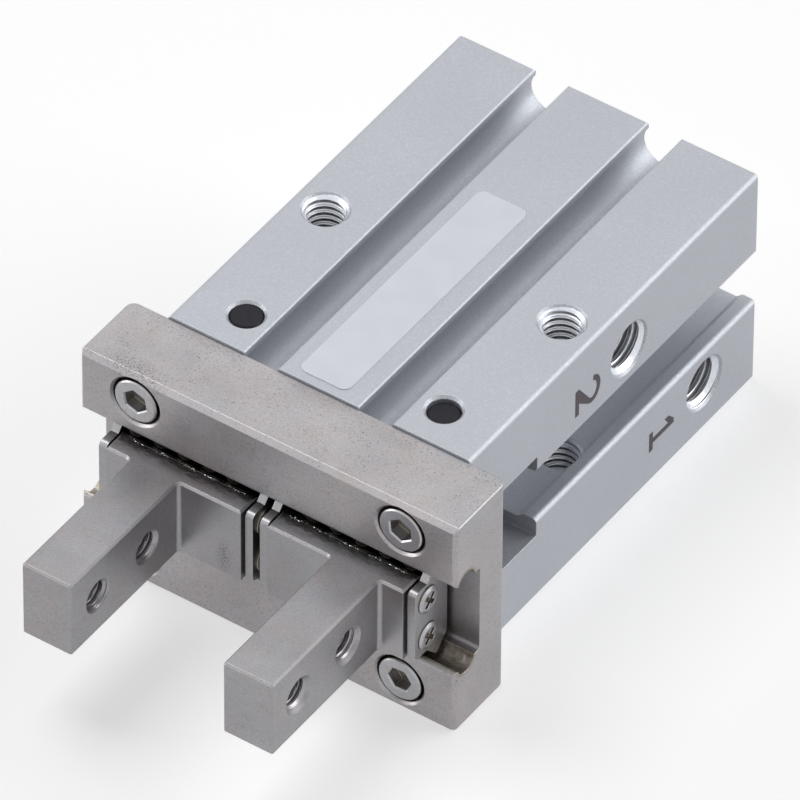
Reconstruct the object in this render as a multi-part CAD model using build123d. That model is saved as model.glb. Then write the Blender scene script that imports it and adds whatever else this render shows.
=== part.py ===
from build123d import *
import os
from math import asin, cos, degrees, radians, sin, tan

# Small two-jaw parallel gripper worked by air, 16 mm bore, drawn with its jaws closed.
# Millimetres. The origin is the centre of the rear face, the jaws point along -Y, +Z is up, and
# the right jaw is the one on +X. Places along the gripper are depths, counted forward from the
# rear face, so depth d lies at y = -d.

# Extruded aluminium body
body_width = 30.6
body_height = 23.6
body_length = 42.7
body_edge_radius = 0.5
body_rear_chamfer = 0.15

# Round-bottomed sensor grooves in the top and the bottom
groove_offset = 5.78
groove_mouth = 3.35
groove_diameter = 4.2
groove_depth = 4.0
groove_lip_radius = 0.25

# Side slots along both flanks
slot_mouth = 5.5
slot_inside = 6.6
slot_lip = 1.33
slot_slope = 0.6
slot_depth = 5.3
slot_lip_radius = 0.5
slot_corner_radius = 0.4

# Window across the front of the body, in which the levers swing
window_height = 9.1
window_length = 9.9
window_corner_radius = 0.15

# Holes in the body
side_thread_radius = 2.0
side_thread_offset = 12.0
side_thread_depth = 24.5
rear_thread_radius = 2.0
rear_thread_x = 12.0
rear_thread_z = 7.4
rear_thread_length = 8.0
thread_chamfer = 0.2
port_radius = 2.5
port_length = 5.0
port_chamfer = 0.2
port_height = 6.5
front_port_depth = 19.3
rear_port_depth = 7.65
port_drill_radius = 0.75
port_drill_drop = 0.7

# Cylinder bore and what closes its rear end
bore_radius = 8.0
pilot_radius = 8.5
pilot_depth = 1.3
cap_radius = 8.25
cap_length = 3.15
cap_nose_length = 0.6
cap_dish_radius = 4.5
cap_dish_depth = 1.0
ring_thickness = 1.0
ring_slack = 0.05
ring_land = 0.5
ring_groove_height = 0.4
ring_width = 1.7
ring_gap_angle = 40.0
ring_ear_turn = 6.0
ring_ear_radius = 1.25
ring_ear_hole_radius = 0.55
gasket_width = 1.4
gasket_height = 1.1
gasket_setback = 0.9
chamber_length = 15.8

# Rod seal, bumpers, piston and rod
seal_pocket_radius = 4.5
seal_pocket_length = 3.0
rod_seal_length = 2.0
rod_radius = 2.5
bumper_thickness = 0.9
rear_bumper_radius = 5.0
rear_bumper_hole = 3.0
front_bumper_radius = 6.0
bumper_gap = 0.2
shoulder_radius = 5.5
rear_shoulder_length = 1.3
piston_land_length = 6.3
front_shoulder_length = 2.9
piston_land_clearance = 0.1
magnet_width = 1.4
magnet_height = 1.7
magnet_setback = 0.8
piston_seal_width = 2.2
piston_seal_height = 2.2
piston_seal_setback = 3.2
tongue_thickness = 1.6
tongue_nose = 1.9
tongue_shoulder = 2.9
rod_pin_radius = 1.0
rod_pin_length = 5.6

# Guide rail across the front
guide_width = 38.0
guide_height = 23.1
guide_thickness = 7.4
web_thickness = 3.8
channel_lip = 9.8
channel_inside = 9.4
channel_corner_radius = 0.4
ball_line_setback = 1.6
ball_line_height = 4.5
guide_rear_radius = 0.85
guide_end_radius = 0.42
guide_lip_radius = 0.4
guide_top_radius = 0.15
guide_front_chamfer = 0.45
guide_bottom_chamfer = 0.12
guide_window_clearance = 0.25

# Socket screws that hold the guide
screw_x = 13.4
screw_z = 8.58
screw_head_radius = 2.13
screw_head_height = 2.5
screw_shank_radius = 1.25
screw_length = 10.0
screw_tip_gap = 1.0
screw_socket = 2.0
screw_socket_depth = 1.2
screw_socket_bevel = 0.12
socket_turns = (20, 40, 5, 35)
screw_head_chamfer = 0.12
counterbore_radius = 2.38
counterbore_chamfer = 0.22

# Jaws
jaw_travel = 3.0
carriage_start = 1.35
guide_overhang = 3.95
carriage_height = 8.0
carriage_stand_out = 1.9
carriage_gap = 0.4
relief_depth = 0.12
bar_inner = 7.7
bar_thickness = 4.95
bar_length = 15.3
bar_fillet = 0.4
jaw_edge = 0.2
jaw_thread_radius = 1.5
jaw_thread_spacing = 7.05
jaw_thread_setback = 3.8
jaw_outer_chamfer = 0.32
jaw_inner_chamfer = 0.12

# Stop plates on both ends of each carriage, with their screws
pad_height = 0.22
pad_margin = 0.8
plate_thickness = 0.77
plate_front_setback = 0.35
plate_rear_setback = 0.1
plate_height = 7.6
plate_corner_radius = 0.55
tongue_reach = 5.2
tongue_start = 3.72
tongue_tip = 0.2
plate_screw_setback = 2.13
plate_screw_z = 2.07
plate_screw_head_radius = 1.3
plate_screw_head_proud = 0.28
plate_screw_cone_depth = 0.5
plate_screw_shank_radius = 0.75
plate_screw_length = 3.2
plate_screw_cross = 0.42
plate_screw_cross_span = 1.6
plate_screw_cross_depth = 0.5

# Steel balls that carry the jaws
ball_radius = 1.19
ball_space = 0.1
ball_end_gap = 0.15

# Levers between the rod and the jaws, and their shafts
pivot_x = 10.0
pivot_setback = 3.85
shaft_radius = 1.5
shaft_recess = 0.35
shaft_shift = 0.18
shaft_chamfer = 0.2
shaft_hole_chamfer = 0.25
hub_radius = 2.9
lever_height = 5.1
nose_radius = 1.5
nose_engagement = 1.5
jaw_arm_root = 3.6
jaw_arm_tip = 2.2
inner_arm_width = 3.0
fork_radius = 1.95

# Blank label on the top
label_length = 26.75
label_width = 4.97
label_offset = -0.235
label_setback = 0.9
label_thickness = 0.08
label_corner_radius = 0.8

# Clearances between mating pieces
shaft_fit = 0.02
sliding_fit = 0.03
pin_fit = 0.05
groove_fit = 0.03
side_play = 0.1
nose_bottom_gap = 0.3
screw_hole_gap = 0.15

# Places that follow from the sizes above
half_width = body_width / 2
half_height = body_height / 2
ring_depth = pilot_depth + ring_land
cap_rear = ring_depth + ring_thickness + ring_slack
cap_seat = cap_rear + cap_length
cap_front = cap_seat + cap_nose_length
wall_rear = cap_front + chamber_length
seal_bottom = wall_rear + seal_pocket_length
window_rear = body_length - window_length
guide_front = body_length + guide_thickness
web_front = body_length + web_thickness
ball_line = guide_front - ball_line_setback
groove_radius = ball_radius + groove_fit
carriage_rear = web_front + carriage_gap
carriage_front = guide_front + carriage_stand_out
carriage_end = guide_width / 2 - guide_overhang
carriage_length = carriage_end - carriage_start
jaw_tip = carriage_front + bar_length
inner_plate_face = carriage_start - pad_height
outer_plate_face = carriage_end + pad_height
pivot_depth = body_length - pivot_setback
lever_reach = carriage_rear + nose_engagement - pivot_depth
half_swing = asin(jaw_travel / 2 / lever_reach)
half_stroke = pivot_x * tan(half_swing)
rod_pin_depth = pivot_depth - half_stroke
piston_rear = cap_front + bumper_thickness + bumper_gap
land_rear = piston_rear + rear_shoulder_length
land_front = land_rear + piston_land_length
piston_front = land_front + front_shoulder_length
fork_layer = (lever_height - tongue_thickness) / 2 - side_play
hub_height = window_height - 2 * side_play

SIDES = (-1, 1)


def lengthwise(section, start, end):
    """Extrude a section drawn in x and z from one depth to another."""
    return extrude(Plane.XZ.offset(start) * section, end - start)


def crosswise(section, start, end):
    """Extrude a section drawn in y and z from one x to another."""
    return extrude(Plane.YZ.offset(start) * section, end - start)


def upright(section, bottom, top):
    """Extrude a section drawn in x and y from one height to another."""
    return extrude(Plane.XY.offset(bottom) * section, top - bottom)


def turned(*profile):
    """Turn a profile of (radius, depth) points about the gripper's long axis."""
    outline = make_face(Polyline(*[(radius, -depth) for radius, depth in profile], close=True))
    return revolve(outline, Axis.Y)


def tube(outer, inner, start, end):
    """A plain round ring about the long axis."""
    return turned((inner, start), (outer, start), (outer, end), (inner, end))


def turned_hole(radius, length, chamfer_size, place, direction):
    """A hole with a chamfered mouth at a place, running along a direction into the piece."""
    profile = Polyline(
        (0, -1),
        (radius + chamfer_size, -1),
        (radius + chamfer_size, 0),
        (radius, chamfer_size),
        (radius, length),
        (0, length),
        close=True,
    )
    hole = revolve(Plane.XZ * make_face(profile), Axis.Z)
    return Plane(origin=place, z_dir=direction) * hole


def mirrored(piece):
    """The same piece on the other side of the gripper."""
    return mirror(piece, about=Plane.YZ)


def body_section():
    """Outline of the extrusion, with its four sensor grooves and two side slots."""
    section = RectangleRounded(body_width, body_height, body_edge_radius)
    groove_centre = half_height - groove_depth + groove_diameter / 2
    mouth_cut = 2 * (half_height - groove_centre)
    for side in SIDES:
        for face in SIDES:
            section -= Pos(side * groove_offset, face * groove_centre) * Circle(groove_diameter / 2)
            section -= Pos(side * groove_offset, face * half_height) * Rectangle(groove_mouth, mouth_cut)
    lips = [v for v in section.vertices() if abs(abs(v.Y) - half_height) < 0.001]
    lips = [v for v in lips if abs(abs(abs(v.X) - groove_offset) - groove_mouth / 2) < 0.001]
    section = fillet(lips, groove_lip_radius)
    for side in SIDES:
        section -= Plane(origin=(0, 0, 0), x_dir=(side, 0, 0), z_dir=(0, 0, side)) * slot_section()
    return section


def slot_section():
    """One side slot, with a lip that narrows its mouth."""
    lip_inner = half_width - slot_lip
    slope_inner = lip_inner - slot_slope
    floor = half_width - slot_depth
    outside = half_width + slot_lip_radius
    flare = slot_mouth / 2 + slot_lip_radius
    upper = [
        (outside, slot_mouth / 2),
        (lip_inner, slot_mouth / 2),
        (slope_inner, slot_inside / 2),
        (floor, slot_inside / 2),
    ]
    lower = [(x, -z) for x, z in reversed(upper)]
    slot = make_face(Polyline(*upper, *lower, close=True))
    corners = [v for v in slot.vertices() if abs(v.X - floor) < 0.001]
    slot = fillet(corners, slot_corner_radius)
    for face in SIDES:
        corner = Pos(half_width, face * flare) * Rectangle(2 * slot_lip_radius, 2 * slot_lip_radius)
        corner -= Pos(half_width - slot_lip_radius, face * flare) * Circle(slot_lip_radius)
        slot += corner
    return slot


def lever_window():
    """Space across the body's front end, with rounded rear corners."""
    opening = Pos(-(body_length + window_rear) / 2, 0) * Rectangle(window_length, window_height)
    rear = [v for v in opening.vertices() if abs(v.X + window_rear) < 0.001]
    return crosswise(fillet(rear, window_corner_radius), -half_width, half_width)


def cylinder_bore():
    """Everything turned from the rear: pilot, ring groove, cap seat, chamber, seal pocket, rod bore."""
    ring_groove = cap_radius + ring_groove_height
    rod_bore = rod_radius + sliding_fit
    return turned(
        (0, 0),
        (pilot_radius, 0),
        (pilot_radius, pilot_depth),
        (cap_radius, pilot_depth),
        (cap_radius, ring_depth),
        (ring_groove, ring_depth),
        (ring_groove, cap_rear),
        (cap_radius, cap_rear),
        (cap_radius, cap_seat),
        (bore_radius, cap_seat),
        (bore_radius, wall_rear),
        (seal_pocket_radius, wall_rear),
        (seal_pocket_radius, seal_bottom),
        (rod_bore, seal_bottom),
        (rod_bore, body_length),
        (0, body_length),
    )


def air_port(depth, height):
    """Threaded port on the right flank and the small drilling that leads into the bore."""
    mouth = (half_width, -depth, height)
    port = turned_hole(port_radius, port_length, port_chamfer, mouth, (-1, 0, 0))
    drill_height = height - port_drill_drop if height > 0 else height + port_drill_drop
    drill = Pos(-depth, drill_height) * Circle(port_drill_radius)
    inner_end = bore_radius / 2
    return port + crosswise(drill, inner_end, half_width - port_length)


def body():
    """Body with its bore, window, ports and screw holes."""
    block = lengthwise(RectangleRounded(body_width, body_height, body_edge_radius), 0, body_length)
    block = chamfer(block.faces().sort_by(Axis.Y)[-1].edges(), body_rear_chamfer)
    solid = block & lengthwise(body_section(), 0, body_length)
    solid -= lever_window()
    solid -= cylinder_bore()
    solid -= air_port(front_port_depth, port_height)
    solid -= air_port(rear_port_depth, -port_height)
    for side in SIDES:
        for face in SIDES:
            mouth = (side * side_thread_offset, -side_thread_depth, face * half_height)
            solid -= turned_hole(side_thread_radius, half_height, thread_chamfer, mouth, (0, 0, -face))
            mouth = (side * pivot_x, -pivot_depth, face * half_height)
            shaft_hole = shaft_radius + shaft_fit
            solid -= turned_hole(shaft_hole, half_height, shaft_hole_chamfer, mouth, (0, 0, -face))
            mouth = (side * screw_x, -body_length, face * screw_z)
            screw_hole = screw_shank_radius + shaft_fit
            screw_hole_length = screw_length - (guide_thickness - screw_head_height) + screw_tip_gap
            solid -= turned_hole(screw_hole, screw_hole_length, thread_chamfer, mouth, (0, 1, 0))
        mouth = (side * rear_thread_x, 0, side * rear_thread_z)
        solid -= turned_hole(rear_thread_radius, rear_thread_length, thread_chamfer, mouth, (0, -1, 0))
    return solid


def guide_section():
    """Outline of the guide rail in y and z: two beams joined by the web, with a ball groove in each."""
    section = Pos(-(body_length + guide_front) / 2, 0) * Rectangle(guide_thickness, guide_height)
    inside = Pos(-(web_front + ball_line) / 2, 0) * Rectangle(ball_line - web_front, channel_inside)
    corners = [v for v in inside.vertices() if abs(v.X + web_front) < 0.001]
    section -= fillet(corners, channel_corner_radius)
    mouth_length = guide_front - ball_line
    section -= Pos(-(guide_front + ball_line) / 2, 0) * Rectangle(mouth_length, channel_lip)
    lips = [v for v in section.vertices() if abs(v.X + guide_front) < 0.001]
    lips = [v for v in lips if abs(abs(v.Y) - channel_lip / 2) < 0.001]
    section = fillet(lips, guide_lip_radius)
    top_front = [v for v in section.vertices() if abs(v.X + guide_front) < 0.001 and v.Y > guide_height / 2 - 0.001]
    section = chamfer(top_front, guide_front_chamfer)
    for face in SIDES:
        section -= Pos(-ball_line, face * ball_line_height) * Circle(groove_radius)
    return section


def guide():
    """Guide rail with counterbored screw holes and a window for each lever."""
    plan = Pos(0, -(body_length + guide_front) / 2) * Rectangle(guide_width, guide_thickness)
    plan = fillet([v for v in plan.vertices() if abs(v.Y + body_length) < 0.001], guide_rear_radius)
    plan = fillet([v for v in plan.vertices() if abs(v.Y + guide_front) < 0.001], guide_end_radius)
    block = upright(plan, -guide_height / 2, guide_height / 2)
    block = fillet(block.faces().sort_by(Axis.Z)[-1].edges(), guide_top_radius)
    block = chamfer(block.faces().sort_by(Axis.Z)[0].edges(), guide_bottom_chamfer)
    solid = block & crosswise(guide_section(), -guide_width / 2, guide_width / 2)
    swing = (web_front - pivot_depth) * tan(half_swing)
    window_width = 2 * swing + jaw_arm_root + 2 * guide_window_clearance
    window_tall = lever_height + 2 * guide_window_clearance
    for side in SIDES:
        window = Pos(side * pivot_x, 0) * RectangleRounded(window_width, window_tall, channel_corner_radius)
        solid -= lengthwise(window, body_length, web_front)
        for face in SIDES:
            place = Pos(side * screw_x, face * screw_z)
            solid -= lengthwise(place * Circle(screw_shank_radius + screw_hole_gap), body_length, guide_front)
            mouth = (side * screw_x, -guide_front, face * screw_z)
            rim = counterbore_chamfer
            solid -= turned_hole(counterbore_radius, screw_head_height, rim, mouth, (0, 1, 0))
    return solid


def screw_socket_cut(place):
    """Hexagonal socket in a screw's head, with a bevel round its mouth."""
    hexagon = place * RegularPolygon(screw_socket / 2, 6, major_radius=False)
    mouth = place * RegularPolygon(screw_socket / 2 + screw_socket_bevel, 6, major_radius=False)
    bevel = loft([Plane.XZ.offset(guide_front - screw_socket_bevel) * hexagon, Plane.XZ.offset(guide_front) * mouth])
    return lengthwise(hexagon, guide_front - screw_socket_depth, guide_front) + bevel


def guide_screws():
    """Four socket screws, heads flush with the guide's front, each socket turned as it stopped."""
    head_rear = guide_front - screw_head_height
    corners = [(side, face) for side in SIDES for face in SIDES]
    screws = []
    for (side, face), turn in zip(corners, socket_turns):
        place = Pos(side * screw_x, face * screw_z)
        head = lengthwise(place * Circle(screw_head_radius), head_rear, guide_front)
        rim = head.faces().sort_by(Axis.Y)[0].edges()
        head = chamfer(rim, screw_head_chamfer)
        screw = head + lengthwise(place * Circle(screw_shank_radius), head_rear - screw_length, head_rear)
        screws.append(screw - screw_socket_cut(place * Rot(0, 0, turn)))
    return screws


def jaw_plan():
    """Plan of a right jaw: carriage and bar, with a fillet where they meet."""
    carriage_middle = (carriage_start + carriage_end) / 2
    plan = Pos(carriage_middle, -(carriage_rear + carriage_front) / 2) * Rectangle(
        carriage_length, carriage_front - carriage_rear
    )
    bar = Pos(bar_inner + bar_thickness / 2, -(carriage_front + jaw_tip) / 2)
    plan += bar * Rectangle(bar_thickness, bar_length)
    roots = [v for v in plan.vertices() if abs(v.Y + carriage_front) < 0.001]
    roots = [v for v in roots if bar_inner - 0.001 < v.X < bar_inner + bar_thickness + 0.001]
    plan = fillet(roots, bar_fillet)
    tips = [v for v in plan.vertices() if abs(v.Y + jaw_tip) < 0.001]
    return fillet(tips, jaw_edge)


def lever_slot():
    """Blind slot in the rear of the right carriage, which takes the lever's round nose."""
    width = 2 * (nose_radius + pin_fit)
    bottom = carriage_rear + nose_engagement + nose_radius + nose_bottom_gap
    height = lever_height + 2 * side_play
    rest_x = pivot_x - jaw_travel / 2
    plan = Pos(rest_x, -(carriage_rear + bottom) / 2) * Rectangle(width, bottom - carriage_rear)
    return upright(plan, -height / 2, height / 2)


def jaw():
    """Right jaw: carriage with ball grooves, pads and lever slot, and the bar with its threads."""
    top = carriage_height / 2
    solid = upright(jaw_plan(), -top, top)
    rims = [e for e in solid.edges() if abs(abs(e.center().Z) - top) < 0.001]
    solid = chamfer(rims, jaw_edge)
    pad_front = carriage_front - pad_margin
    pad_rear = carriage_rear + pad_margin
    pad = Pos(-(pad_front + pad_rear) / 2, 0) * Rectangle(pad_front - pad_rear, 2 * (top - pad_margin))
    solid += crosswise(pad, inner_plate_face, outer_plate_face)
    for face in SIDES:
        ball_groove = Pos(-ball_line, face * ball_line_height) * Circle(groove_radius)
        solid -= crosswise(ball_groove, carriage_start, carriage_end)
        relief_middle = Pos(-(carriage_rear + guide_front) / 2, face * top)
        relief = relief_middle * Rectangle(guide_front - carriage_rear, 2 * relief_depth)
        solid -= crosswise(relief, carriage_start, carriage_end)
        for height in (-plate_screw_z, plate_screw_z):
            hole = Pos(-(carriage_front - plate_screw_setback), height)
            hole = hole * Circle(plate_screw_shank_radius + shaft_fit)
            length = plate_screw_length + pad_height
            solid -= crosswise(hole, inner_plate_face, inner_plate_face + length)
            solid -= crosswise(hole, outer_plate_face - length, outer_plate_face)
    solid -= lever_slot()
    outer_face = bar_inner + bar_thickness
    for index in range(2):
        depth = jaw_tip - jaw_thread_setback - index * jaw_thread_spacing
        half = bar_thickness / 2
        outer_mouth = (outer_face, -depth, 0)
        inner_mouth = (bar_inner, -depth, 0)
        solid -= turned_hole(jaw_thread_radius, half, jaw_outer_chamfer, outer_mouth, (-1, 0, 0))
        solid -= turned_hole(jaw_thread_radius, half, jaw_inner_chamfer, inner_mouth, (1, 0, 0))
    return solid


def plate_outline():
    """Outline of a stop plate in y and z, with a pointed tongue up and down into the guide's ball grooves."""
    front = carriage_front - plate_front_setback
    rear = carriage_rear + plate_rear_setback
    outline = Pos(-(front + rear) / 2, 0) * RectangleRounded(front - rear, plate_height, plate_corner_radius)
    root = plate_height / 2 - plate_corner_radius
    tongue_half = ball_line - rear
    for face in SIDES:
        tongue = Polyline(
            (-ball_line - tongue_half, face * root),
            (-ball_line - tongue_half, face * tongue_start),
            (-ball_line - tongue_tip / 2, face * tongue_reach),
            (-ball_line + tongue_tip / 2, face * tongue_reach),
            (-ball_line + tongue_half, face * tongue_start),
            (-ball_line + tongue_half, face * root),
            close=True,
        )
        outline += make_face(tongue)
    return outline


def stop_plate(seat, outward):
    """A stop plate that lies on a carriage pad, with countersunk screw holes."""
    outer = seat + outward * plate_thickness
    plate = crosswise(plate_outline(), min(seat, outer), max(seat, outer))
    for height in (-plate_screw_z, plate_screw_z):
        mouth = (outer, -(carriage_front - plate_screw_setback), height)
        cone = plate_screw_head_radius - plate_screw_shank_radius
        plate -= countersink(plate_screw_shank_radius + shaft_fit, cone, mouth, (-outward, 0, 0))
    return plate


def countersink(radius, widening, place, direction):
    """A through hole for a countersunk head, with its cone at the mouth."""
    profile = Polyline(
        (0, 0),
        (radius + widening, 0),
        (radius, plate_screw_cone_depth),
        (radius, plate_thickness),
        (0, plate_thickness),
        close=True,
    )
    hole = revolve(Plane.XZ * make_face(profile), Axis.Z)
    return Plane(origin=place, z_dir=direction) * hole


def plate_screws(seat, outward):
    """The two cross-recess screws of one stop plate."""
    outer = seat + outward * plate_thickness
    profile = Polyline(
        (0, -plate_screw_head_proud),
        (plate_screw_head_radius - plate_screw_head_proud, -plate_screw_head_proud),
        (plate_screw_head_radius, -plate_screw_head_proud / 2),
        (plate_screw_head_radius, 0),
        (plate_screw_shank_radius, plate_screw_cone_depth),
        (plate_screw_shank_radius, plate_thickness + plate_screw_length),
        (0, plate_thickness + plate_screw_length),
        close=True,
    )
    screw = revolve(Plane.XZ * make_face(profile), Axis.Z)
    bar = Rectangle(plate_screw_cross_span, plate_screw_cross)
    cross = Rot(0, 0, 45) * (bar + Rot(0, 0, 90) * bar)
    screw -= upright(cross, -plate_screw_head_proud, plate_screw_cross_depth - plate_screw_head_proud)
    depth = carriage_front - plate_screw_setback
    places = [(outer, -depth, height) for height in (-plate_screw_z, plate_screw_z)]
    return [Plane(origin=place, z_dir=(-outward, 0, 0)) * screw for place in places]


def ball_row(face):
    """One row of steel balls between the right carriage and a beam of the guide."""
    pitch = 2 * ball_radius + ball_space
    last = outer_plate_face - ball_end_gap - ball_radius
    first_limit = inner_plate_face + jaw_travel / 2 + ball_end_gap + ball_radius
    count = int((last - first_limit) / pitch) + 1
    places = [(last - index * pitch, -ball_line, face * ball_line_height) for index in range(count)]
    return [Pos(*place) * Sphere(ball_radius) for place in places]


def lever():
    """Right lever: hub, arm with a round nose for the jaw, and a half-thick fork for the rod pin."""
    nose_neck = lever_reach - nose_radius / 2
    jaw_arm = make_face(Polyline(
        (-jaw_arm_root / 2, 0),
        (jaw_arm_root / 2, 0),
        (jaw_arm_tip / 2, -nose_neck),
        (-jaw_arm_tip / 2, -nose_neck),
        close=True,
    ))
    jaw_arm += Pos(0, -lever_reach) * Circle(nose_radius)
    jaw_arm += Circle(hub_radius)
    solid = upright(jaw_arm, -lever_height / 2, lever_height / 2)
    solid += upright(Circle(hub_radius), -hub_height / 2, hub_height / 2)
    slot_half = rod_pin_radius + pin_fit
    inner_arm = Pos(-pivot_x / 2, 0) * Rectangle(pivot_x, inner_arm_width)
    inner_arm += Pos(-pivot_x, 0) * Circle(fork_radius)
    fork_slot = Pos(-pivot_x + pin_fit, 0) * Circle(slot_half)
    fork_slot += Pos(-pivot_x - fork_radius / 2, 0) * Rectangle(fork_radius + 2 * pin_fit, 2 * slot_half)
    inner_arm -= fork_slot
    bottom = -lever_height / 2
    solid += upright(inner_arm, bottom, bottom + fork_layer)
    solid -= upright(Circle(shaft_radius + sliding_fit), -hub_height / 2, hub_height / 2)
    return Pos(pivot_x, -pivot_depth, 0) * Rot(0, 0, -degrees(half_swing)) * solid


def lever_shaft(shift):
    """Pin pressed through the body at the right lever, and pushed off centre by a small shift."""
    reach = half_height - shaft_recess
    pin = upright(Pos(pivot_x, -pivot_depth) * Circle(shaft_radius), -reach, reach)
    pin = chamfer(pin.edges().filter_by(GeomType.CIRCLE), shaft_chamfer)
    return Pos(0, 0, shift) * pin


def piston():
    """Piston and rod in one piece, with grooves for the seal and the magnet and a flat tongue."""
    land = bore_radius - piston_land_clearance
    magnet_start = land_rear + magnet_setback
    seal_start = land_rear + piston_seal_setback
    magnet_floor = bore_radius - piston_land_clearance - magnet_height
    seal_floor = bore_radius - piston_seal_height
    tongue_start = rod_pin_depth - tongue_shoulder
    tongue_end = rod_pin_depth + tongue_nose
    solid = turned(
        (0, piston_rear),
        (shoulder_radius, piston_rear),
        (shoulder_radius, land_rear),
        (land, land_rear),
        (land, magnet_start),
        (magnet_floor, magnet_start),
        (magnet_floor, magnet_start + magnet_width),
        (land, magnet_start + magnet_width),
        (land, seal_start),
        (seal_floor, seal_start),
        (seal_floor, seal_start + piston_seal_width),
        (land, seal_start + piston_seal_width),
        (land, land_front),
        (shoulder_radius, land_front),
        (shoulder_radius, piston_front),
        (rod_radius, piston_front),
        (rod_radius, tongue_end),
        (0, tongue_end),
    )
    for face in SIDES:
        flat = Pos(0, face * (rod_radius + tongue_thickness / 2) / 2)
        flat = flat * Rectangle(2 * rod_radius, rod_radius - tongue_thickness / 2)
        solid -= lengthwise(flat, tongue_start, tongue_end)
    hole = Pos(0, -rod_pin_depth) * Circle(rod_pin_radius + shaft_fit)
    return solid - upright(hole, -tongue_thickness, tongue_thickness)


def rod_pin():
    """Cross pin in the rod's tongue, which both lever forks straddle."""
    return upright(Pos(0, -rod_pin_depth) * Circle(rod_pin_radius), -rod_pin_length / 2, rod_pin_length / 2)


def piston_seal():
    """Lipped rubber ring in the piston's groove."""
    start = land_rear + piston_seal_setback
    inner = bore_radius - piston_seal_height + shaft_fit
    outer = bore_radius - sliding_fit
    side = shaft_fit
    return turned(
        (inner, start + side),
        (outer - piston_land_clearance, start + side),
        (outer, start + piston_seal_width / 4),
        (outer - 2 * piston_land_clearance, start + piston_seal_width / 2),
        (outer, start + 3 * piston_seal_width / 4),
        (outer - piston_land_clearance, start + piston_seal_width - side),
        (inner, start + piston_seal_width - side),
    )


def magnet():
    """Magnet ring in the piston's rear groove."""
    start = land_rear + magnet_setback
    outer = bore_radius - 2 * piston_land_clearance
    inner = bore_radius - piston_land_clearance - magnet_height + shaft_fit
    return tube(outer, inner, start + shaft_fit, start + magnet_width - shaft_fit)


def end_cap():
    """Cap that closes the bore, seated on the bore's step, with a gasket groove and a shallow dish."""
    outer = cap_radius - shaft_fit
    gasket_start = cap_rear + gasket_setback
    return turned(
        (0, cap_rear + cap_dish_depth),
        (cap_dish_radius, cap_rear + cap_dish_depth),
        (cap_dish_radius, cap_rear),
        (outer, cap_rear),
        (outer, gasket_start),
        (outer - gasket_height, gasket_start),
        (outer - gasket_height, gasket_start + gasket_width),
        (outer, gasket_start + gasket_width),
        (outer, cap_seat),
        (bore_radius - shaft_fit, cap_seat),
        (bore_radius - shaft_fit, cap_front),
        (0, cap_front),
    )


def cap_gasket():
    """Rubber ring in the end cap's groove."""
    start = cap_rear + gasket_setback + shaft_fit
    end = start + gasket_width - 2 * shaft_fit
    outer = cap_radius - shaft_fit
    return tube(outer, outer - gasket_height + shaft_fit, start, end)


def retaining_ring():
    """Open spring ring with two pierced ears, in the groove behind the cap."""
    outer = cap_radius + ring_groove_height - ring_slack
    ring = Circle(outer) - Circle(outer - ring_width)
    half_gap = radians(ring_gap_angle / 2)
    cut_x = 2 * outer * sin(half_gap)
    cut_y = -2 * outer * cos(half_gap)
    cut = Polyline((0, 0), (-cut_x, cut_y), (cut_x, cut_y), close=True)
    ring -= make_face(cut)
    for side in SIDES:
        ear_angle = ring_gap_angle / 2 + ring_ear_turn
        centre_radius = cap_radius - ring_ear_radius - ring_land
        ear = Rot(0, 0, side * ear_angle) * Pos(0, -centre_radius)
        ring += ear * Circle(ring_ear_radius)
        ring -= ear * Circle(ring_ear_hole_radius)
    return lengthwise(ring, ring_depth + ring_slack, cap_rear)


def rod_seal():
    """Rubber seal round the rod, at the bottom of its pocket."""
    outer = seal_pocket_radius - shaft_fit
    return tube(outer, rod_radius + sliding_fit, seal_bottom - rod_seal_length, seal_bottom)


def seal_support():
    """Ring that keeps the rod seal in its pocket."""
    outer = seal_pocket_radius - shaft_fit
    return tube(outer, rod_radius + sliding_fit, wall_rear, seal_bottom - rod_seal_length)


def front_bumper():
    """Soft ring on the front wall of the chamber."""
    return tube(front_bumper_radius, rod_radius + pin_fit, wall_rear - bumper_thickness, wall_rear)


def rear_bumper():
    """Soft ring on the inner face of the end cap."""
    return tube(rear_bumper_radius, rear_bumper_hole, cap_front, cap_front + bumper_thickness)


def label():
    """Thin blank label on the land between the top grooves."""
    middle = body_length - label_setback - label_length / 2
    outline = Pos(label_offset, -middle) * RectangleRounded(label_width, label_length, label_corner_radius)
    return upright(outline, half_height, half_height + label_thickness)


def save(name, *solids):
    """Write one node, from one solid or from a group of like ones."""
    piece = solids[0] if len(solids) == 1 else Compound(children=list(solids))
    export_step(piece, f"parts/{name}.step")


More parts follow.
